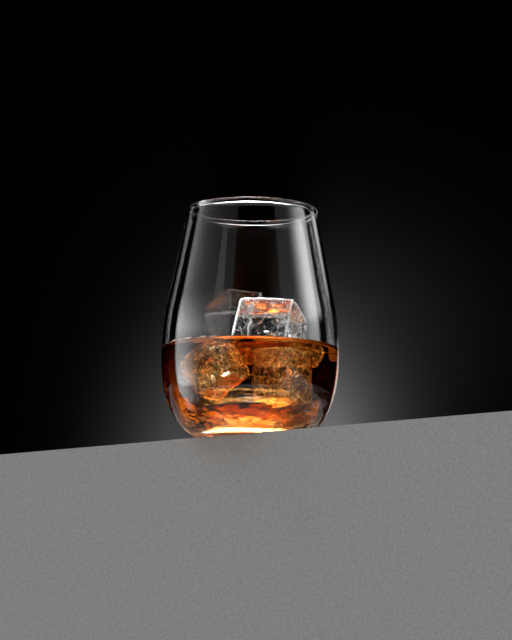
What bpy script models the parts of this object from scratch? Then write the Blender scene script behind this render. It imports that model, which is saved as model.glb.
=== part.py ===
"""Old fashioned served in a stemless tulip tumbler.

One clear glass, the whisky in it up to a little under half its height, and three
pieces of clear ice: two sunk in the drink and one resting on them, standing out of it.
Metres, +Z up, origin at the middle of the underside of the glass.
"""

import math

import bmesh
import bpy
from mathutils import Euler, Vector

# --- driving sizes -----------------------------------------------------------------

# The glass, outside
HEIGHT = 0.118            # table to the top of the lip
BELLY_RADIUS = 0.045      # at the widest place
BELLY_HEIGHT = 0.0437     # height of the widest place
BOWL_DEPTH = 0.0506       # belly to where the bowl would close, had it no foot
BOWL_POWER = 2.5          # 2 is an ellipse, more is a squarer bowl
SHOULDER_HEIGHT = 0.070   # from here up the side is straight
SIDE_DRAW = 0.2075        # how much the straight side draws in for each unit of height
HEEL_ROUND = 0.0010       # edge between the foot and the side
HEEL_MIDDLE = 0.3         # share of that rounding at its middle point
LIP_RADIUS = 0.0014       # bead of the lip
LIP_PROUD = 0.0009        # how far the bead stands out from the side
LIP_START = 205.0         # where the bead leaves the inside wall, degrees round it
LIP_SWEEP = 270.0         # how far round it goes to the outside wall
LIP_TAPER = 0.0017        # wall left plain below the bead's middle

# The glass, inside
WALL = 0.0017             # at the side
FLOOR_HEIGHT = 0.009      # top of the thick base, in the middle
FLOOR_RISE = 0.016        # height in which the floor rounds up into the wall
FLOOR_POWER = 2.4         # 2 is an ellipse, more is a squarer corner

# The drink
DRINK_LEVEL = 0.0446      # surface away from the wall
MENISCUS_RISE = 0.0012    # how far the drink climbs the wall
MENISCUS_REACH = 0.0016   # how fast that dies out from the wall
MENISCUS_STEP = 0.00072   # first step in from the wall along its curve
MENISCUS_SPREAD = 1.4     # how the later steps lengthen
GAP = 0.0003              # between neighbouring solids

# The ice: size, rounding of the edges, middle and turn (degrees) of each piece
ICE = {
    "ice_left": {
        "size": (0.0230, 0.0190, 0.0228),
        "edge": 0.0042,
        "middle": (-0.0150, -0.0163, 0.0333),
        "turn": (-4.0, -32.0, -43.0),
        "phase": 0.4,
    },
    "ice_right": {
        "size": (0.0205, 0.0200, 0.0255),
        "edge": 0.0030,
        "middle": (0.0135, -0.0140, 0.0301),
        "turn": (-3.0, -3.0, -29.0),
        "phase": 1.9,
    },
    "ice_top": {
        "size": (0.0298, 0.0270, 0.0268),
        "edge": 0.0019,
        "middle": (0.0097, 0.0036, 0.0547),
        "turn": (-19.0, 4.0, -20.5),
        "phase": 3.3,
    },
}
ICE_CELLS = 8             # faces along each edge of a piece of ice
ICE_SWELL = 0.0006        # unevenness left by melting
MELT_WAVES = ((2.1, 1.7), (1.9, 2.3), (2.2, 1.6))   # how tight its waves are, each way

TURN_STEPS = 48           # flats round the turned pieces
SIDE_POINTS = 14          # points up the wall inside
BOWL_POINTS = 7           # points up the outside to the belly
UPPER_POINTS = 8          # and from the belly to the lip
DRINK_POINTS = 5          # points up the side of the drink above the floor's curve
MENISCUS_POINTS = 4       # points across the drink's curved edge
FLOOR_POINTS = 9          # points across the floor
LIP_POINTS = 8            # points round the bead
MERGE = 0.000005          # points nearer than this are one
SHARP = 50.0              # edges bent more than this show, degrees


# --- the glass's outline -----------------------------------------------------------

def outer_radius(height):
    """Radius of the outside at a height: rounded bowl, parabola, then a straight side."""
    if height < BELLY_HEIGHT:
        below = (BELLY_HEIGHT - height) / BOWL_DEPTH
        return BELLY_RADIUS * (1 - below ** BOWL_POWER) ** (1 / BOWL_POWER)
    bend = SHOULDER_HEIGHT - BELLY_HEIGHT
    above_belly = min(height - BELLY_HEIGHT, bend)
    above_shoulder = max(height - SHOULDER_HEIGHT, 0.0)
    return BELLY_RADIUS - SIDE_DRAW * (above_belly ** 2 / (2 * bend) + above_shoulder)


def floor_curve(count):
    """Inside of the base as (radius, height), from the middle out to the plain wall."""
    points = []
    for step in range(count):
        angle = math.pi / 2 * step / count
        height = FLOOR_HEIGHT + FLOOR_RISE * (1 - math.cos(angle) ** (2 / FLOOR_POWER))
        spread = math.sin(angle) ** (2 / FLOOR_POWER)
        points.append((spread * (outer_radius(height) - WALL), height))
    return points


def wall_curve(low, high, count):
    """Inside of the wall as (radius, height), evenly spaced from low to high."""
    heights = [low + (high - low) * step / count for step in range(count + 1)]
    return [(outer_radius(height) - WALL, height) for height in heights]


def outside_curve(high, low, count):
    """Outside of the wall as (radius, height), going down from high to just above low."""
    heights = [high + (low - high) * step / count for step in range(count)]
    return [(outer_radius(height), height) for height in heights]


def glass_profile():
    """Half section of the glass, from the middle of its floor over the lip to the foot."""
    lip_height = HEIGHT - LIP_RADIUS
    lip_middle = outer_radius(lip_height) + LIP_PROUD - LIP_RADIUS
    side_top = lip_height - LIP_TAPER
    inside = floor_curve(FLOOR_POINTS)
    inside += wall_curve(FLOOR_HEIGHT + FLOOR_RISE, side_top, SIDE_POINTS)
    lip = []
    for step in range(LIP_POINTS + 1):
        angle = math.radians(LIP_START - LIP_SWEEP * step / LIP_POINTS)
        lip.append((lip_middle + LIP_RADIUS * math.cos(angle),
                    lip_height + LIP_RADIUS * math.sin(angle)))
    outside = outside_curve(side_top, BELLY_HEIGHT, UPPER_POINTS)
    outside += outside_curve(BELLY_HEIGHT, HEEL_ROUND, BOWL_POINTS)
    outside.append((outer_radius(HEEL_ROUND), HEEL_ROUND))
    foot = outer_radius(0.0) - HEEL_ROUND
    heel = (foot + (1 - HEEL_MIDDLE) * HEEL_ROUND, HEEL_MIDDLE * HEEL_ROUND)
    return inside + lip + outside + [heel, (foot, 0.0), (0.0, 0.0)]


def inset(points, distance):
    """The line through the points, moved sideways towards the axis and up."""
    moved = []
    for index, (radius, height) in enumerate(points):
        before = points[max(index - 1, 0)]
        after = points[min(index + 1, len(points) - 1)]
        run = after[0] - before[0]
        rise = after[1] - before[1]
        length = math.hypot(run, rise)
        moved.append((max(radius - distance * rise / length, 0.0),
                      height + distance * run / length))
    moved[0] = (0.0, points[0][1] + distance)
    return moved


def drink_profile():
    """Half section of the drink, from the middle of the floor to the middle of its surface."""
    edge_height = DRINK_LEVEL + MENISCUS_RISE
    side = inset(floor_curve(FLOOR_POINTS)
                 + wall_curve(FLOOR_HEIGHT + FLOOR_RISE, edge_height, DRINK_POINTS), GAP)
    edge_radius = side[-1][0]
    side[-1] = (edge_radius, edge_height)
    surface = []
    for step in range(1, MENISCUS_POINTS + 1):
        inward = MENISCUS_STEP * step ** MENISCUS_SPREAD
        climb = MENISCUS_RISE * math.exp(-inward / MENISCUS_REACH)
        surface.append((edge_radius - inward, DRINK_LEVEL + climb))
    return side + surface + [(edge_radius / 2, DRINK_LEVEL), (0.0, DRINK_LEVEL)]


# --- meshes ------------------------------------------------------------------------

def add_object(name, shape, material):
    """Turn a finished bmesh into a smooth-shaded object with its material."""
    bmesh.ops.recalc_face_normals(shape, faces=shape.faces)
    mesh = bpy.data.meshes.new(name)
    shape.to_mesh(mesh)
    shape.free()
    mesh.shade_smooth()
    mesh.set_sharp_from_angle(angle=math.radians(SHARP))
    mesh.materials.append(material)
    item = bpy.data.objects.new(name, mesh)
    bpy.context.scene.collection.objects.link(item)
    return item


def turned(name, profile, material):
    """Spin a half section that starts and ends on the axis."""
    shape = bmesh.new()
    line = [shape.verts.new((radius, 0.0, height)) for radius, height in profile]
    edges = [shape.edges.new(pair) for pair in zip(line, line[1:])]
    bmesh.ops.spin(shape, geom=line + edges, axis=(0, 0, 1), cent=(0, 0, 0),
                   angle=2 * math.pi, steps=TURN_STEPS)
    bmesh.ops.remove_doubles(shape, verts=shape.verts, dist=MERGE)
    return add_object(name, shape, material)


def melted(point, size, phase):
    """Move a point of a block as melting does: faces swell and sag a little."""
    across = [2 * point[axis] / size[axis] for axis in range(3)]
    push = Vector()
    for axis, (first, second) in enumerate(MELT_WAVES):
        one = across[(axis + 1) % 3]
        other = across[(axis + 2) % 3]
        push[axis] = math.sin(first * one + phase * (axis + 1)) * math.cos(second * other - phase)
    return point + ICE_SWELL * push


def ice_block(name, size, edge, middle, turn, phase, material, grown=0.0):
    """A block of ice with rounded, uneven faces; grown makes it larger all round."""
    shape = bmesh.new()
    bmesh.ops.create_cube(shape, size=2.0)
    bmesh.ops.subdivide_edges(shape, edges=shape.edges, cuts=ICE_CELLS - 1,
                              use_grid_fill=True)
    half = Vector(size) / 2
    core = half - Vector((edge, edge, edge))
    for vert in shape.verts:
        corner = Vector([half[i] * math.sin(math.pi / 2 * vert.co[i]) for i in range(3)])
        inner = Vector([max(-core[i], min(core[i], corner[i])) for i in range(3)])
        vert.co = melted(inner + edge * (corner - inner).normalized(), size, phase)
    shape.normal_update()
    for vert in shape.verts:
        vert.co += grown * vert.normal
    place = Euler([math.radians(angle) for angle in turn], "XYZ").to_matrix()
    for vert in shape.verts:
        vert.co = place @ vert.co + Vector(middle)
    return add_object(name, shape, material)


# --- materials ---------------------------------------------------------------------

def clear_material(name, colour, roughness, ior):
    """A see-through material; nothing here is metal."""
    material = bpy.data.materials.new(name)
    material.use_nodes = True
    shader = material.node_tree.nodes["Principled BSDF"]
    shader.inputs["Base Color"].default_value = (*colour, 1.0)
    shader.inputs["Roughness"].default_value = roughness
    shader.inputs["Metallic"].default_value = 0.0
    shader.inputs["IOR"].default_value = ior
    shader.inputs["Transmission Weight"].default_value = 1.0
    material.diffuse_color = (*colour, 1.0)
    return material


# --- the drink in its glass --------------------------------------------------------

def clear_scene():
    """Remove whatever the new file holds."""
    for item in list(bpy.data.objects):
        bpy.data.objects.remove(item, do_unlink=True)


def cut_ice_from(drink, ice_material):
    """Leave room in the drink for each piece of ice."""
    for name, block in ICE.items():
        cutter = ice_block("room_for_" + name, material=ice_material, grown=GAP, **block)
        cutter.hide_render = True
        cutter.display_type = "WIRE"
        cut = drink.modifiers.new("room for " + name, "BOOLEAN")
        cut.operation = "DIFFERENCE"
        cut.solver = "EXACT"
        cut.object = cutter


def build():
    """Make the glass, the drink and the ice."""
    clear_scene()
    glass_clear = clear_material("clear glass", (0.96, 0.97, 0.97), 0.0, 1.5)
    whisky_amber = clear_material("amber whisky", (0.72, 0.25, 0.03), 0.0, 1.36)
    ice_clear = clear_material("clear ice", (0.93, 0.95, 0.95), 0.05, 1.31)
    turned("glass", glass_profile(), glass_clear)
    drink = turned("whisky", drink_profile(), whisky_amber)
    for name, block in ICE.items():
        ice_block(name, material=ice_clear, **block)
    cut_ice_from(drink, ice_clear)


build()
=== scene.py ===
"""The finished look of the old fashioned: clear tumbler, amber whisky and clear ice."""
import math
import random

import bpy
import numpy as np
from mathutils import Euler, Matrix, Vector


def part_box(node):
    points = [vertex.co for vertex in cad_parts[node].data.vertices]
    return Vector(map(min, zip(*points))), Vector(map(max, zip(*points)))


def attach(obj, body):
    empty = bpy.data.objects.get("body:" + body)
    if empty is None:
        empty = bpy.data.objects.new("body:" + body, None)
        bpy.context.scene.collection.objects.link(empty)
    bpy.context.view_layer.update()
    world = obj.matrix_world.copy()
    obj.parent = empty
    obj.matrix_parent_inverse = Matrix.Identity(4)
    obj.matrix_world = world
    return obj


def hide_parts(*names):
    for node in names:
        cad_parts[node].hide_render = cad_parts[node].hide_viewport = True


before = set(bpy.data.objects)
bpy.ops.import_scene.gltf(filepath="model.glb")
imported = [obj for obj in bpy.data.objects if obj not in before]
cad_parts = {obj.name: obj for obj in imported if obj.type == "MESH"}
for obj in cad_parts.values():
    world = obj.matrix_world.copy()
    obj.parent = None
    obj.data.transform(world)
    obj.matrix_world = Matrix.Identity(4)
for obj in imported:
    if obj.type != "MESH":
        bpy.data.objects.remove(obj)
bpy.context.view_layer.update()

# --- sizes, in metres --------------------------------------------------------------

# The glass, outside and inside, as the solids have it
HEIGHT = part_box("glass")[1].z
BELLY_RADIUS = 0.045
BELLY_HEIGHT = 0.0437
BOWL_DEPTH = 0.0506
BOWL_POWER = 2.5
SHOULDER_HEIGHT = 0.070           # the side runs straight from here up to the lip
SIDE_DRAW = 0.2075                # how far it draws in for each metre up
HEEL_ROUND = 0.0010
HEEL_TURN = (-15, -90)            # degrees, from the side round to the foot
LIP_RADIUS = 0.0014
LIP_PROUD = 0.0009
LIP_TAPER = 0.0017
LIP_TURN = (205, -65)             # degrees, from the inside over the top to the outside
WALL = 0.0017
FLOOR_HEIGHT = 0.009
FLOOR_RISE = 0.016
FLOOR_POWER = 2.4

# The drink
DRINK_LEVEL = 0.0446
MENISCUS_RISE = 0.0014
MENISCUS_REACH = 0.0011
MENISCUS_SPAN = 4.0               # how many reaches of it are drawn
MENISCUS_CROWDING = 1.5           # above 1, its points crowd towards the wall
FLAT_SHARES = (0.6, 0.3, 0.0)     # points of the flat surface, as shares of its radius
INTO_WALL = 0.00015               # how far the drink reaches into the glass, to leave no air
INTO_ICE = 0.00012                # the same for the ice

# Points of the outlines, and flats round the turned pieces
FLOOR_POINTS = 24
LOWERED_POINTS = 20               # the first of these, where the drink reaches down too
INSIDE_POINTS = 44
LIP_POINTS = 18
OUTSIDE_POINTS = 56
HEEL_POINTS = 5
DRINK_SIDE_POINTS = 16
MENISCUS_POINTS = 10
TURN_STEPS = 160
SHARP_ANGLE = math.radians(40)    # a sharper bend than this stays a crease
START_SIZE = 0.001                # of the plane that an outline starts from
SPIN_MERGE = 0.000002             # points closer than this are made one
COPY_MERGE = 0.00001
QUAD_ANGLE = math.radians(60)     # triangles flatter to each other than this pair up

# The froth along the drink's edge
FROTH_COUNT = 110
FROTH_FINENESS = 2
FROTH_SIZE = (0.00018, 0.00042)
FROTH_TURN = (22.0, 105.0)        # where most beads sit, degrees left of the front
FROTH_STRAY = 4                   # one bead in this many sits anywhere round the edge
FROTH_CLEAR = 1.05                # from a bead's middle to the wall, in its radii
FROTH_RISE = (0.7, 1.3)           # how high the beads ride, in rises of the meniscus
FROTH_UNEVEN = 0.12               # how far they are from round, in radii
FROTH_WAVES = (3.0, 2.0)          # how that varies over a bead
FROTH_SEED = 5

# The ice: size, middle and turn (degrees) of each piece, as the solids have them, how many
# bubbles and cracks it has, how deep its dents are, the frost of its faces (the three that
# look along its own axes, then the three that look against them) and how crazed it is
ICE = {
    "ice_left": {
        "size": (0.0230, 0.0190, 0.0228),
        "middle": (-0.0150, -0.0163, 0.0333),
        "turn": (-4.0, -32.0, -43.0),
        "bubbles": 1300, "cracks": 16, "dents": 0.0010, "seed": 11,
        "frost": (0.3, 0.8, 0.5, 0.3, 0.15, 0.3), "crazing": 1.0,
    },
    "ice_right": {
        "size": (0.0205, 0.0200, 0.0255),
        "middle": (0.0135, -0.0140, 0.0301),
        "turn": (-3.0, -3.0, -29.0),
        "bubbles": 1300, "cracks": 18, "dents": 0.0012, "seed": 23,
        "frost": (0.3, 0.3, 0.5, 0.3, 0.1, 0.3), "crazing": 1.0,
    },
    "ice_top": {
        "size": (0.0298, 0.0270, 0.0268),
        "middle": (0.0097, 0.0036, 0.0547),
        "turn": (-19.0, 4.0, -20.5),
        "bubbles": 160, "cracks": 6, "dents": 0.0010, "seed": 37,
        "frost": (1.0, 0.0, 0.4, 0.35, 0.0, 0.0), "crazing": 0.35,
    },
}
ICE_LEVELS = 2                    # rounds of subdivision, which melt the blocks' edges
DENT_WIDTH = 0.007
RIPPLE_WIDTH = 0.0025
RIPPLE_DEPTH = 0.0003
FACE_START = 0.9                  # a face's frost starts this share out from the middle

# The hollows in the ice; a reach is a share of the block's half size
BUBBLE_FINENESS = 1
BUBBLE_REACH = 0.88
BUBBLE_SIZE = (0.00008, 0.00030)
BUBBLE_STRETCH = (1.0, 1.8)
BUBBLE_LEAN = 0.4                 # radians either way
SKIN_SHARE = 0.75                 # of the bubbles, close under a face
SKIN_REACH = (0.80, 0.93)
CRACK_FINENESS = 4
CRACK_FORM = (1.0, 0.8, 0.02)
CRACK_REACH = 0.6
CRACK_SIZE = (0.0010, 0.0030)
CRACK_WIDTH = (0.6, 1.0)
FOLD_WIDTH = 0.6                  # of a crack of unit size
FOLD_DEPTH = 0.35

# --- colours and strengths of the finishes -----------------------------------------

WHITE = (1.0, 1.0, 1.0, 1.0)
GLASS_IOR = 1.5
WHISKY_IOR = 1.36
ICE_IOR = 1.31
FROTH_IOR = 1.33
BASE_FADE = (0.014, 0.026)        # heights between which the base's waves die out
WHISKY_COLOUR = (0.93, 0.62, 0.05, 1.0)
WHISKY_DEPTH = 90.0               # how fast its colour deepens
FROTH_TONES = [(0.3, (0.80, 0.66, 0.48, 1.0)), (0.7, (1.0, 0.94, 0.86, 1.0))]
# Frost below the drink is painted amber. This painted glow stands in for the gold light that
# reaches it through the whisky. Above the drink the frost is plain white, and the amber fades
# out over the heights given next.
PAINTED_GOLD_FROST = (1.0, 0.78, 0.40, 1.0)
DRY_FROST = (0.98, 0.98, 0.98, 1.0)
PAINTED_GOLD_FADE = (DRINK_LEVEL - 0.002, DRINK_LEVEL + 0.001)     # from wet to dry, in height
STONE_TONES = [(0.3, 0.42), (0.7, 0.60)]

# --- places and strengths of the stage ---------------------------------------------

SLAB_SIZE = (1.6, 0.1, 0.5)
SLAB_TURN = -40.5                 # degrees
SLAB_EDGE = 0.0196                # from the glass's middle to the slab's front edge
SLAB_GAP = 0.0002                 # between the glass and the slab

LENS = 155.0                      # millimetres, as the sensor's width is
SENSOR_WIDTH = 36.0
NEAREST = 0.01
CAMERA_TARGET = (0.0027, 0.0, 0.0607)
CAMERA_DISTANCE = 1.40
CAMERA_RISE = -9.0                # degrees; it stands below the table and looks up
CAMERA_ROLL = 0.75                # degrees

LAMP_SIZE = 0.28
LAMP_HEIGHT = 0.27
LAMP_POWER = 3.1

# Light by direction, in degrees. Turns marked left and right are counted from the front,
# those marked behind from straight behind to the right, and those marked aside either way
# from straight behind. Heights are above the level. A pair is a start and an end, and a
# bell is a middle and a width.
LEFT_BOX = {
    "turns": (27, 115), "soft": 1.5,
    "brightens": (30, 100), "brightens_by": 2.4, "strength": 3.3,
    "top": (4, 30), "bottom": (-36, -22),
    "whole_above": (7, 15),
    "edge": (66, 102), "edge_end": (111, 115), "edge_bell": (-10, 18), "edge_strength": 1.3,
    "veil": (12, 36), "veil_soft": 2, "veil_strength": 0.08,
    "glows": (((13, 7), 0.58), ((25, 6), 0.26)),      # each a bell and its strength
}
RIGHT_BOX = {
    "turns": (44, 112), "soft": 1.5,
    "heights": (17, 36), "heights_soft": 2,
    "brightens": (58, 96), "brightens_by": 2.0, "strength": 2.1, "least": 0.15,
}
RIGHT_STRIP = {"turns": (132.5, 143.5), "soft": 1.5, "bell": (23, 8), "strength": 0.35}
HIGH_RING = {"heights": (40, 60), "soft": 4, "strength": 0.75}
LOW_LIGHT = {"heights": (-60, -45), "strength": 0.5}
# The glow and the haze each have a bell for the turn and one for the height
BACKDROP = {
    "glow": ((0, 1.9), (5.5, 2.4)), "glow_strength": 0.42,
    "haze": ((1.6, 3.0), (8.6, 2.4)), "haze_strength": 0.010,
    "gap": (0.4, 1.9),
    "left_share": 0.36, "share_turns": (-1.5, 1.5),
    "darkest": 0.0003,
}
# Cards: where their turns are counted from, turns, heights, softness and strength
CARDS = (
    ("behind", (-9, 9), (40, 60), 2, 9.0),
    ("left", (40, 125), (44, 64), 3, 1.3),
    ("behind", (8, 24), (1, 8), 2, 0.9),
    ("aside", (8, 22), (25, 34), 2, 0.8),
    ("behind", (25, 40), (17, 23), 1.5, 1.0),
    ("behind", (-40, -26), (18, 23), 1.5, 0.5),
)


# --- modelling helpers -------------------------------------------------------------

def start_clean():
    """Leave edit mode and select nothing."""
    if bpy.context.object and bpy.context.object.mode != "OBJECT":
        bpy.ops.object.mode_set(mode="OBJECT")
    bpy.ops.object.select_all(action="DESELECT")


def only(item):
    """Select one object and make it the active one."""
    start_clean()
    item.select_set(True)
    bpy.context.view_layer.objects.active = item


def edit_all(item):
    """Open an object in edit mode with everything in it selected."""
    only(item)
    bpy.ops.object.mode_set(mode="EDIT")
    bpy.ops.mesh.select_all(action="SELECT")


def settle(item):
    """Put the object's place into its mesh, so that it sits at the origin."""
    only(item)
    bpy.ops.object.transform_apply(location=True, rotation=True, scale=True)


def give_material(item, material):
    """Make a material the only one that an object has."""
    item.data.materials.clear()
    item.data.materials.append(material)


def apply_modifier(item, kind, **settings):
    """Add a modifier, set it and apply it."""
    only(item)
    modifier = item.modifiers.new(kind.title(), kind)
    for setting, value in settings.items():
        setattr(modifier, setting, value)
    bpy.ops.object.modifier_apply(modifier=modifier.name)


def roughen(item, name, width, depth, **settings):
    """Push a surface in and out by soft clouds of a given width and depth."""
    clouds = bpy.data.textures.new(name, "CLOUDS")
    clouds.noise_scale = width
    apply_modifier(item, "DISPLACE", texture=clouds, strength=depth, mid_level=0.5,
                   texture_coords="LOCAL", **settings)


def join_into(piece, others):
    """Make other objects part of a piece."""
    only(piece)
    for other in others:
        other.select_set(True)
    bpy.ops.object.join()


def spin_outline(name, outline):
    """Draw a half section point by point and spin it into a closed round piece."""
    start_clean()
    first_radius, first_height = outline[0]
    bpy.ops.mesh.primitive_plane_add(size=START_SIZE, location=(first_radius, 0, first_height))
    piece = bpy.context.object
    piece.name = name
    settle(piece)
    edit_all(piece)
    bpy.ops.mesh.merge(type="CENTER")
    for (radius, height), (next_radius, next_height) in zip(outline, outline[1:]):
        move = (next_radius - radius, 0, next_height - height)
        bpy.ops.mesh.extrude_vertices_move(TRANSFORM_OT_translate={"value": move})
    bpy.ops.mesh.select_all(action="SELECT")
    bpy.ops.mesh.spin(steps=TURN_STEPS, angle=2 * math.pi, center=(0, 0, 0), axis=(0, 0, 1))
    bpy.ops.mesh.select_all(action="SELECT")
    bpy.ops.mesh.remove_doubles(threshold=SPIN_MERGE)
    bpy.ops.mesh.normals_make_consistent(inside=False)
    bpy.ops.object.mode_set(mode="OBJECT")
    bpy.ops.object.shade_smooth_by_angle(angle=SHARP_ANGLE)
    return piece


def copy_of(source, name):
    """A loose copy of an object with its own mesh, its doubled points merged."""
    piece = source.copy()
    piece.data = source.data.copy()
    piece.name = name
    piece.hide_render = False
    bpy.context.scene.collection.objects.link(piece)
    piece.hide_set(False)
    edit_all(piece)
    bpy.ops.mesh.remove_doubles(threshold=COPY_MERGE)
    bpy.ops.object.mode_set(mode="OBJECT")
    return piece


def unit_ball(fineness):
    """A ball of radius 1 from triangles."""
    start_clean()
    bpy.ops.mesh.primitive_ico_sphere_add(subdivisions=fineness, radius=1.0, location=(0, 0, 0))
    return bpy.context.object


def take_form(item):
    """An object's points and faces as arrays; the object itself is removed."""
    points = np.array([tuple(vertex.co) for vertex in item.data.vertices])
    faces = np.array([tuple(polygon.vertices) for polygon in item.data.polygons])
    bpy.data.objects.remove(item, do_unlink=True)
    return points, faces


def gather(name, copies, faces):
    """One smooth piece from the points of many copies of a small form."""
    all_faces = [faces + index * len(points) for index, points in enumerate(copies)]
    mesh = bpy.data.meshes.new(name)
    mesh.from_pydata(np.concatenate(copies).tolist(), [], np.concatenate(all_faces).tolist())
    piece = bpy.data.objects.new(name, mesh)
    bpy.context.scene.collection.objects.link(piece)
    only(piece)
    bpy.ops.object.shade_smooth()
    return piece


# --- shader helpers ----------------------------------------------------------------

class Wire:
    """An output socket that takes part in sums; each sum adds its Math node."""

    def __init__(self, finish, socket):
        self.finish = finish
        self.socket = socket

    def __add__(self, other):
        return self.finish.maths("ADD", self, other)

    __radd__ = __add__

    def __mul__(self, other):
        return self.finish.maths("MULTIPLY", self, other)

    __rmul__ = __mul__

    def __sub__(self, other):
        return self.finish.maths("SUBTRACT", self, other)

    def __rsub__(self, other):
        return self.finish.maths("SUBTRACT", other, self)

    def __truediv__(self, other):
        return self.finish.maths("DIVIDE", self, other)

    def __pow__(self, other):
        return self.finish.maths("POWER", self, other)


class Finish:
    """A material or a world whose nodes are added one by one."""

    def __init__(self, owner):
        owner.use_nodes = True
        self.owner = owner
        self.tree = owner.node_tree
        self.tree.nodes.clear()

    def add(self, kind, settings=None, values=None, out=0):
        """Add a node, make its settings, fill its sockets and give one of its outputs."""
        node = self.tree.nodes.new(kind)
        for setting, value in (settings or {}).items():
            if setting == "stops":
                self.set_stops(node.color_ramp, value)
            else:
                setattr(node, setting, value)
        for socket, value in (values or {}).items():
            if isinstance(value, Wire):
                self.tree.links.new(value.socket, node.inputs[socket])
            else:
                node.inputs[socket].default_value = value
        return Wire(self, node.outputs[out])

    @staticmethod
    def set_stops(ramp, stops):
        """Fill a colour ramp from (place, grey or colour) pairs."""
        while len(ramp.elements) < len(stops):
            ramp.elements.new(1.0)
        for element, (place, colour) in zip(ramp.elements, stops):
            element.position = place
            element.color = colour if isinstance(colour, tuple) else (colour,) * 3 + (1.0,)

    def maths(self, operation, *values):
        """A sum of one or two values."""
        return self.add("ShaderNodeMath", {"operation": operation}, dict(enumerate(values)))

    def place(self):
        """Where a point is, in metres."""
        return self.add("ShaderNodeTexCoord", out="Object")

    def along(self, vector, axis):
        """One of the three parts of a vector."""
        return self.add("ShaderNodeSeparateXYZ", {}, {0: vector}, out=axis)

    def attribute(self, name):
        """A value that the mesh holds at each point."""
        return self.add("ShaderNodeAttribute", {"attribute_name": name}, out="Fac")

    def smooth(self, value, low, high):
        """0 below low, 1 above high and a smooth step between."""
        return self.add("ShaderNodeMapRange", {"interpolation_type": "SMOOTHSTEP"},
                        {"Value": value, "From Min": low, "From Max": high})

    def band(self, value, ends, soft):
        """1 between two ends and 0 outside them, with soft edges."""
        low, high = ends
        inside = 1 - self.smooth(value, high - soft, high + soft)
        return self.smooth(value, low - soft, low + soft) * inside

    def bell(self, value, middle, width):
        """1 at the middle, falling away on both sides of it."""
        return self.maths("EXPONENT", ((value - middle) / width) ** 2.0 * -1.0)

    def noise(self, place, scale, detail=2.0, roughness=0.5):
        """Soft random patches."""
        return self.add("ShaderNodeTexNoise", {}, {
            "Vector": place,
            "Scale": scale,
            "Detail": detail,
            "Roughness": roughness,
        })

    def mix(self, share, first, second):
        """A colour between two others."""
        return self.add("ShaderNodeMix", {"data_type": "RGBA", "blend_type": "MIX"},
                        {0: share, 6: first, 7: second}, out=2)

    def bump(self, height, strength, distance):
        """Fine relief that only the light sees."""
        return self.add("ShaderNodeBump", {}, {
            "Strength": strength,
            "Distance": distance,
            "Height": height,
        })

    def clear(self, ior, bump):
        """A smooth see-through shader with no colour of its own."""
        return self.add("ShaderNodeBsdfPrincipled", {}, {
            "Base Color": WHITE,
            "Roughness": 0.0,
            "IOR": ior,
            "Transmission Weight": 1.0,
            "Normal": bump,
        })

    def finish_with(self, surface, volume=None):
        """Wire the shader to the output."""
        values = {"Surface": surface}
        if volume is not None:
            values["Volume"] = volume
        kind = "World" if isinstance(self.owner, bpy.types.World) else "Material"
        node = self.tree.nodes.new("ShaderNodeOutput" + kind)
        for socket, wire in values.items():
            self.tree.links.new(wire.socket, node.inputs[socket])
        return self.owner


def new_finish(name):
    """A new material, ready for its nodes."""
    return Finish(bpy.data.materials.new(name))


# --- the finishes ------------------------------------------------------------------

def clear_glass():
    """Polished glass: faint waves in the wall, stronger ones pressed into the thick base."""
    glass = new_finish("clear_glass")
    place = glass.place()
    base = 1 - glass.smooth(glass.along(place, "Z"), *BASE_FADE)
    wall_waves = glass.noise(place, scale=60.0, detail=1.0) * 0.1
    base_waves = glass.noise(place, scale=150.0) * 1.4
    bump = glass.bump(wall_waves + base * base_waves, strength=0.2, distance=0.001)
    return glass.finish_with(glass.clear(GLASS_IOR, bump))


def amber_whisky():
    """Clear liquid that takes its colour from its depth."""
    whisky = new_finish("amber_whisky")
    ripples = whisky.noise(whisky.place(), scale=90.0, detail=1.0)
    bump = whisky.bump(ripples, strength=0.03, distance=0.001)
    depth = whisky.add("ShaderNodeVolumeAbsorption", {}, {
        "Color": WHISKY_COLOUR,
        "Density": WHISKY_DEPTH,
    })
    return whisky.finish_with(whisky.clear(WHISKY_IOR, bump), depth)


def pale_froth():
    """Froth on the drink's edge: pale, half see-through beads."""
    froth = new_finish("pale_froth")
    spots = froth.noise(froth.place(), scale=2500.0)
    tone = froth.add("ShaderNodeValToRGB", {"stops": FROTH_TONES}, {"Fac": spots})
    shader = froth.add("ShaderNodeBsdfPrincipled", {}, {
        "Base Color": tone,
        "Roughness": 0.2,
        "IOR": FROTH_IOR,
        "Transmission Weight": 0.15,
    })
    return froth.finish_with(shader)


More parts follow.
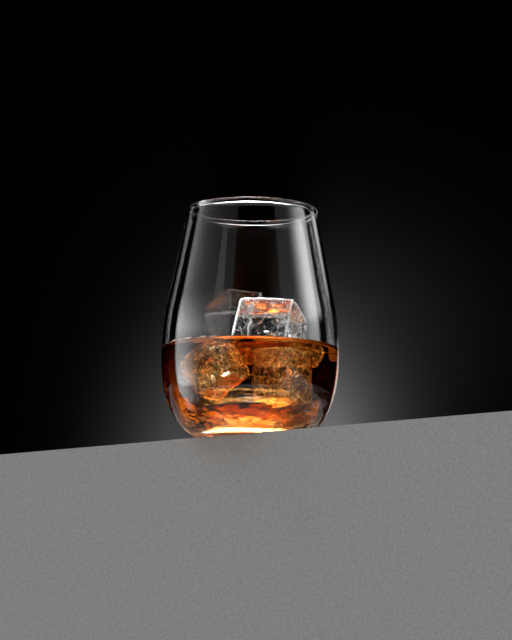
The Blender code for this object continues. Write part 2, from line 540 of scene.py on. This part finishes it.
def clear_ice():
    """Wet clear ice: rime along its edges, crazed lines and streaks in its faces, and its frost
    painted amber below the drink as a painted glow of light through the whisky.
    """
    ice = new_finish("clear_ice")
    place = ice.place()
    edge = ice.attribute("edge")
    frosted = ice.attribute("frost")
    crazing = ice.attribute("crazing")

    wander = ice.add("ShaderNodeTexNoise", {}, {"Vector": place, "Scale": 160.0}, out="Color")
    drift = (0.012, 0.012, 0.012)
    shifted = ice.add("ShaderNodeVectorMath", {"operation": "MULTIPLY_ADD"},
                      {0: wander, 1: drift, 2: place})
    cells = ice.add("ShaderNodeTexVoronoi", {"feature": "DISTANCE_TO_EDGE"},
                    {"Vector": shifted, "Scale": 130.0})
    patches = ice.smooth(ice.noise(place, scale=110.0), low=0.46, high=0.54)
    lines = (1 - ice.smooth(cells, low=0.006, high=0.045)) * patches * crazing

    clouds = ice.noise(shifted, scale=420.0, detail=4.0, roughness=0.65)
    streaks = ice.smooth(clouds + (frosted - 0.5) * 0.12, low=0.56, high=0.66)
    grain = ice.noise(place, scale=1300.0, detail=3.0, roughness=0.7)
    rime = ice.smooth(edge + (grain - 0.5) * 0.25, low=0.84, high=0.99)

    dimples = ice.noise(place, scale=260.0, detail=3.0)
    bump = ice.bump(dimples + lines * 0.5, strength=0.3, distance=0.0006)
    # Painted glow: the frost below the drink level is coloured amber in place of gold light
    # through the whisky, and it fades to white above.
    dry = ice.smooth(ice.along(place, "Z"), *PAINTED_GOLD_FADE)
    cloudy = ice.add("ShaderNodeBsdfPrincipled", {}, {
        "Base Color": ice.mix(dry, PAINTED_GOLD_FROST, DRY_FROST),
        "Roughness": 0.4,
        "IOR": ICE_IOR,
        "Transmission Weight": 0.1,
        "Normal": bump,
    })
    white = ice.smooth(rime * 0.9 + lines * 0.95 + streaks * frosted, low=0.0, high=1.0)
    shader = ice.add("ShaderNodeMixShader", {}, {
        0: white,
        1: ice.clear(ICE_IOR, bump),
        2: cloudy,
    })
    return ice.finish_with(shader)


def pale_stone():
    """Plain pale stone with a fine grain."""
    stone = new_finish("pale_stone")
    grain = stone.noise(stone.place(), scale=900.0, detail=4.0, roughness=0.7)
    tone = stone.add("ShaderNodeValToRGB", {"stops": STONE_TONES}, {"Fac": grain})
    shader = stone.add("ShaderNodeBsdfPrincipled", {}, {
        "Base Color": tone,
        "Roughness": 0.8,
        "Specular IOR Level": 0.05,
        "Normal": stone.bump(grain, strength=0.5, distance=0.0005),
    })
    return stone.finish_with(shader)


# --- the glass ---------------------------------------------------------------------

def outer_radius(height):
    """Radius of the outside at a height: rounded bowl, parabola, then a straight side."""
    if height < BELLY_HEIGHT:
        below = (BELLY_HEIGHT - height) / BOWL_DEPTH
        return BELLY_RADIUS * (1 - below ** BOWL_POWER) ** (1 / BOWL_POWER)
    bend = SHOULDER_HEIGHT - BELLY_HEIGHT
    above_belly = min(height - BELLY_HEIGHT, bend)
    above_shoulder = max(height - SHOULDER_HEIGHT, 0.0)
    return BELLY_RADIUS - SIDE_DRAW * (above_belly ** 2 / (2 * bend) + above_shoulder)


def floor_curve():
    """Inside of the base as (radius, height), from the middle out to the plain wall."""
    points = []
    for step in range(FLOOR_POINTS):
        angle = math.pi / 2 * step / FLOOR_POINTS
        height = FLOOR_HEIGHT + FLOOR_RISE * (1 - math.cos(angle) ** (2 / FLOOR_POWER))
        spread = math.sin(angle) ** (2 / FLOOR_POWER)
        points.append((spread * (outer_radius(height) - WALL), height))
    return points


def wall_curve(top, count):
    """Inside of the wall as (radius, height), evenly spaced from the base up to a height."""
    low = FLOOR_HEIGHT + FLOOR_RISE
    heights = [low + (top - low) * step / count for step in range(count + 1)]
    return [(outer_radius(height) - WALL, height) for height in heights]


def arc(middle, radius, start, end, count):
    """Points round part of a circle in the half section; angles in degrees."""
    points = []
    for step in range(count + 1):
        angle = math.radians(start + (end - start) * step / count)
        points.append((middle[0] + radius * math.cos(angle),
                       middle[1] + radius * math.sin(angle)))
    return points


def make_glass():
    """The tumbler: thick base, thin side and beaded lip."""
    lip_height = HEIGHT - LIP_RADIUS
    lip_middle = (outer_radius(lip_height) + LIP_PROUD - LIP_RADIUS, lip_height)
    side_top = lip_height - LIP_TAPER
    inside = floor_curve() + wall_curve(side_top, INSIDE_POINTS)
    lip = arc(lip_middle, LIP_RADIUS, *LIP_TURN, LIP_POINTS)
    outside = []
    for step in range(OUTSIDE_POINTS):
        height = HEEL_ROUND + (side_top - HEEL_ROUND) * (1 - step / OUTSIDE_POINTS)
        outside.append((outer_radius(height), height))
    foot = outer_radius(0.0) - HEEL_ROUND
    heel = arc((foot, HEEL_ROUND), HEEL_ROUND, *HEEL_TURN, HEEL_POINTS)
    outline = inside + lip + outside + heel + [(foot / 2, 0.0), (0.0, 0.0)]
    piece = spin_outline("tumbler", outline)
    give_material(piece, clear_glass())
    return piece


# --- the ice -----------------------------------------------------------------------

def turn_matrix(angles):
    """Turns about x, y and z, in radians, as an array that multiplies points."""
    return np.array(Euler(angles, "XYZ").to_matrix())


def block_turn(block):
    """How a block is turned, as such an array."""
    return turn_matrix([math.radians(angle) for angle in block["turn"]])


def make_ice(node, block):
    """A melted block over the solid's own form, with fine dimples in its faces."""
    piece = copy_of(bpy.data.objects[node], node + "_block")
    edit_all(piece)
    bpy.ops.mesh.tris_convert_to_quads(face_threshold=QUAD_ANGLE, shape_threshold=QUAD_ANGLE)
    bpy.ops.object.mode_set(mode="OBJECT")
    apply_modifier(piece, "SUBSURF", levels=ICE_LEVELS, render_levels=ICE_LEVELS)
    roughen(piece, node + "_dents", DENT_WIDTH, block["dents"])
    roughen(piece, node + "_ripples", RIPPLE_WIDTH, RIPPLE_DEPTH)
    only(piece)
    bpy.ops.object.shade_smooth()
    mark_edges(piece, block)
    return piece


def mark_edges(piece, block):
    """Write how near each point is to an edge of its block, and how frosted its face is."""
    points = np.array([tuple(vertex.co) for vertex in piece.data.vertices]) - block["middle"]
    across = points @ block_turn(block) / (np.array(block["size"]) / 2)
    edge = np.sort(np.abs(across), axis=1)[:, 1]
    faces = np.concatenate([across, -across], axis=1)
    near = np.clip((faces - FACE_START) / (1 - FACE_START), 0, 1)
    frost = (near * np.array(block["frost"])).max(axis=1)
    crazing = np.full(len(points), block["crazing"])
    for name, values in (("edge", edge), ("frost", frost), ("crazing", crazing)):
        layer = piece.data.attributes.new(name, "FLOAT", "POINT")
        layer.data.foreach_set("value", values.astype(np.float32))


def make_hollow(kind):
    """One bubble or one crack of unit size, its faces pointing into it."""
    if kind == "bubbles":
        piece = unit_ball(BUBBLE_FINENESS)
    else:
        piece = unit_ball(CRACK_FINENESS)
        piece.scale = CRACK_FORM
        settle(piece)
        roughen(piece, "crack_folds", FOLD_WIDTH, FOLD_DEPTH, direction="Z")
    edit_all(piece)
    bpy.ops.mesh.flip_normals()
    bpy.ops.object.mode_set(mode="OBJECT")
    return piece


def spread_hollow(block, kind, draw):
    """Where one hollow sits in its block, how big it is and how it leans."""
    half = [side / 2 for side in block["size"]]
    if kind == "bubbles":
        reach = BUBBLE_REACH
        smallest, largest = BUBBLE_SIZE
        size = smallest + (largest - smallest) * draw.random() ** 2
        stretch = (size, size, size * draw.uniform(*BUBBLE_STRETCH))
        lean = [draw.uniform(-BUBBLE_LEAN, BUBBLE_LEAN) for _ in half]
    else:
        reach = CRACK_REACH
        size = draw.uniform(*CRACK_SIZE)
        stretch = (size, size * draw.uniform(*CRACK_WIDTH), size)
        lean = [draw.uniform(0, math.pi) for _ in half]
    place = [side * reach * draw.uniform(-1, 1) for side in half]
    if kind == "bubbles" and draw.random() < SKIN_SHARE:
        axis = draw.randrange(3)
        place[axis] = half[axis] * draw.uniform(*SKIN_REACH) * draw.choice((-1, 1))
    return place, stretch, lean


def frozen_in(block, kind, draw):
    """A block's bubbles or its cracks, as one mesh that faces inwards."""
    points, faces = take_form(make_hollow(kind))
    turn = block_turn(block)
    copies = []
    for _ in range(block[kind]):
        place, stretch, lean = spread_hollow(block, kind, draw)
        inside = (points * stretch) @ turn_matrix(lean).T + place
        copies.append(inside @ turn.T + block["middle"])
    return gather(kind, copies, faces)


def fill_ice(piece, block, material):
    """Join the bubbles and cracks into a block, as hollows in it."""
    draw = random.Random(block["seed"])
    hollows = [frozen_in(block, kind, draw) for kind in ("bubbles", "cracks")]
    join_into(piece, hollows)
    give_material(piece, material)


# --- the drink ---------------------------------------------------------------------

def froth_beads():
    """Small beads of froth along the drink's edge, most of them on the left at the front."""
    points, faces = take_form(unit_ball(FROTH_FINENESS))
    waves = points[:, [1]] * FROTH_WAVES[0] + points[:, [2]] * FROTH_WAVES[1]
    points *= 1 + FROTH_UNEVEN * np.sin(waves)
    draw = random.Random(FROTH_SEED)
    edge = outer_radius(DRINK_LEVEL) - WALL
    copies = []
    for index in range(FROTH_COUNT):
        around = FROTH_TURN if index % FROTH_STRAY else (0.0, 360.0)
        turn = math.radians(draw.uniform(*around))
        size = draw.uniform(*FROTH_SIZE)
        radius = edge - size * FROTH_CLEAR
        height = DRINK_LEVEL + MENISCUS_RISE * draw.uniform(*FROTH_RISE)
        place = (-radius * math.sin(turn), -radius * math.cos(turn), height)
        copies.append(points * size + place)
    froth = gather("froth", copies, faces)
    give_material(froth, pale_froth())
    return froth


def drink_outline():
    """Half section of the drink: up the inside of the glass, then in over the surface."""
    outline = floor_curve() + wall_curve(DRINK_LEVEL + MENISCUS_RISE, DRINK_SIDE_POINTS)
    for index, (radius, height) in enumerate(outline):
        outward = INTO_WALL if radius > 0 else 0.0
        down = INTO_WALL if index < LOWERED_POINTS else 0.0
        outline[index] = (radius + outward, height - down)
    edge_radius = outline[-1][0]
    span = MENISCUS_REACH * MENISCUS_SPAN
    for step in range(1, MENISCUS_POINTS + 1):
        inward = span * (step / MENISCUS_POINTS) ** MENISCUS_CROWDING
        climb = MENISCUS_RISE * math.exp(-inward / MENISCUS_REACH)
        outline.append((edge_radius - inward, DRINK_LEVEL + climb))
    outline += [(edge_radius * share, DRINK_LEVEL) for share in FLAT_SHARES]
    return outline


def make_drink(blocks):
    """The whisky, reaching just into the wall and the ice, with its meniscus and froth."""
    piece = spin_outline("whisky_pour", drink_outline())
    for block in blocks:
        room = copy_of(block, "room")
        edit_all(room)
        bpy.ops.transform.shrink_fatten(value=-INTO_ICE)
        bpy.ops.object.mode_set(mode="OBJECT")
        apply_modifier(piece, "BOOLEAN", operation="DIFFERENCE", solver="EXACT", object=room)
        bpy.data.objects.remove(room, do_unlink=True)
    only(piece)
    bpy.ops.object.shade_smooth_by_angle(angle=SHARP_ANGLE)
    give_material(piece, amber_whisky())
    join_into(piece, [froth_beads()])
    return piece


# --- the floor, the camera and the light -------------------------------------------

def make_floor():
    """A pale slab whose front edge passes just in front of the foot."""
    start_clean()
    bpy.ops.mesh.primitive_cube_add(size=1.0, location=(0, 0, 0))
    slab = bpy.context.object
    slab.name = "floor_slab"
    slab.scale = SLAB_SIZE
    turn = math.radians(SLAB_TURN)
    slab.rotation_euler = (0, 0, turn)
    front = Vector((math.sin(turn), -math.cos(turn), 0.0))
    down = Vector((0.0, 0.0, -1.0))
    _, depth, height = SLAB_SIZE
    slab.location = down * (height / 2 + SLAB_GAP) - front * (depth / 2 - SLAB_EDGE)
    settle(slab)
    slab.data.materials.append(pale_stone())


def make_camera():
    """A long lens, a little below the table, looking slightly up."""
    data = bpy.data.cameras.new("camera")
    data.sensor_width = SENSOR_WIDTH
    data.lens = LENS
    data.clip_start = NEAREST
    camera = bpy.data.objects.new("camera", data)
    bpy.context.scene.collection.objects.link(camera)
    rise = math.radians(CAMERA_RISE)
    away = Vector((0.0, -math.cos(rise), math.sin(rise)))
    camera.location = Vector(CAMERA_TARGET) + CAMERA_DISTANCE * away
    camera.rotation_euler = (-away).to_track_quat("-Z", "Y").to_euler()
    camera.rotation_euler.rotate_axis("Z", math.radians(CAMERA_ROLL))
    bpy.context.scene.camera = camera


def light_angles(studio):
    """The turns and the height by which the light is placed, in degrees."""
    direction = studio.add("ShaderNodeTexCoord", out="Generated")
    x, y, z = (studio.along(direction, axis) for axis in "XYZ")
    degrees = 180 / math.pi
    left = studio.maths("ARCTAN2", x * -1.0, y * -1.0) * degrees
    behind = studio.maths("ARCTAN2", x, y) * degrees
    return {
        "left": left,
        "right": left * -1.0,
        "behind": behind,
        "aside": studio.maths("ABSOLUTE", behind),
        "height": studio.maths("ARCSINE", z) * degrees,
    }


def left_box(studio, angles):
    """A long box on the left, brighter towards the back, and low down lit at one edge only."""
    box = LEFT_BOX
    left = angles["left"]
    height = angles["height"]
    core = studio.smooth(left, *box["brightens"]) ** box["brightens_by"] * box["strength"]
    core = core * (1 - studio.smooth(height, *box["top"]))
    core = core * studio.smooth(height, *box["bottom"])
    edge = studio.smooth(left, *box["edge"]) * (1 - studio.smooth(left, *box["edge_end"]))
    edge = edge * studio.bell(height, *box["edge_bell"]) * box["edge_strength"]
    whole = studio.smooth(height, *box["whole_above"])
    total = core * (whole + edge * (1 - whole))
    total = total + studio.band(height, box["veil"], box["veil_soft"]) * box["veil_strength"]
    for bell, strength in box["glows"]:
        total = total + studio.bell(height, *bell) * strength
    return studio.band(left, box["turns"], box["soft"]) * total


def right_box(studio, angles):
    """A box on the right, brighter towards the back, and a faint strip beyond it."""
    box = RIGHT_BOX
    right = angles["right"]
    height = angles["height"]
    shape = studio.band(right, box["turns"], box["soft"])
    shape = shape * studio.band(height, box["heights"], box["heights_soft"])
    core = studio.smooth(right, *box["brightens"]) ** box["brightens_by"] * box["strength"]
    strip = studio.band(right, RIGHT_STRIP["turns"], RIGHT_STRIP["soft"])
    strip = strip * studio.bell(height, *RIGHT_STRIP["bell"]) * RIGHT_STRIP["strength"]
    return shape * (core + box["least"]) + strip


def plain_lights(studio, angles):
    """A ring high up, an even light from far below, and the cards."""
    height = angles["height"]
    ring = studio.band(height, HIGH_RING["heights"], HIGH_RING["soft"]) * HIGH_RING["strength"]
    low = (1 - studio.smooth(height, *LOW_LIGHT["heights"])) * LOW_LIGHT["strength"]
    total = ring + low
    for counted_from, turns, heights, soft, strength in CARDS:
        card = studio.band(angles[counted_from], turns, soft)
        total = total + card * studio.band(height, heights, soft) * strength
    return total


def backdrop_glow(studio, angles):
    """A faint glow on the dark backdrop, weaker on its left and dark in its middle."""
    behind = angles["behind"]
    height = angles["height"]

    def patch(turn_bell, height_bell):
        return studio.bell(behind, *turn_bell) * studio.bell(height, *height_bell)

    left_share = BACKDROP["left_share"]
    to_right = studio.smooth(behind, *BACKDROP["share_turns"]) * (1 - left_share) + left_share
    glow = patch(*BACKDROP["glow"]) * to_right * BACKDROP["glow_strength"]
    haze = patch(*BACKDROP["haze"]) * BACKDROP["haze_strength"]
    gap = studio.smooth(angles["aside"], *BACKDROP["gap"])
    return (glow + haze) * gap + BACKDROP["darkest"]


def make_light():
    """Soft boxes and cards round the drink, and a faint glow on the dark backdrop."""
    world = bpy.data.worlds.new("studio")
    bpy.context.scene.world = world
    studio = Finish(world)
    angles = light_angles(studio)
    total = left_box(studio, angles) + right_box(studio, angles)
    total = total + plain_lights(studio, angles) + backdrop_glow(studio, angles)
    studio.finish_with(studio.add("ShaderNodeBackground", {}, {
        "Color": WHITE,
        "Strength": total,
    }))


def make_top_light(pieces):
    """A round soft box over the glass, which lights the glass and its drink alone."""
    data = bpy.data.lights.new("top_box", "AREA")
    data.shape = "DISK"
    data.size = LAMP_SIZE
    data.energy = LAMP_POWER
    lamp = bpy.data.objects.new("top_box", data)
    lamp.location = (0.0, 0.0, LAMP_HEIGHT)
    lamp.visible_camera = False
    lamp.visible_glossy = False
    bpy.context.scene.collection.objects.link(lamp)
    lit = bpy.data.collections.new("lit_from_above")
    for piece in pieces:
        lit.objects.link(piece)
    lamp.light_linking.receiver_collection = lit


def set_look():
    """Let light pass through the many layers, and keep the tones plain."""
    scene = bpy.context.scene
    scene.cycles.max_bounces = 48
    scene.cycles.transmission_bounces = 48
    scene.cycles.glossy_bounces = 12
    scene.cycles.diffuse_bounces = 4
    scene.cycles.use_denoising = True
    scene.view_settings.view_transform = "Standard"


# --- putting it together -----------------------------------------------------------

def main():
    make_camera()
    glass = make_glass()
    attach(glass, "root")
    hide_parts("glass")
    pieces = {node: make_ice(node, block) for node, block in ICE.items()}
    drink = make_drink(pieces.values())
    ice = clear_ice()
    for node, piece in pieces.items():
        fill_ice(piece, ICE[node], ice)
        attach(piece, "root")
        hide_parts(node)
    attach(drink, "root")
    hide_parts("whisky")
    make_floor()
    make_light()
    make_top_light([glass, drink, *pieces.values()])
    set_look()


main()
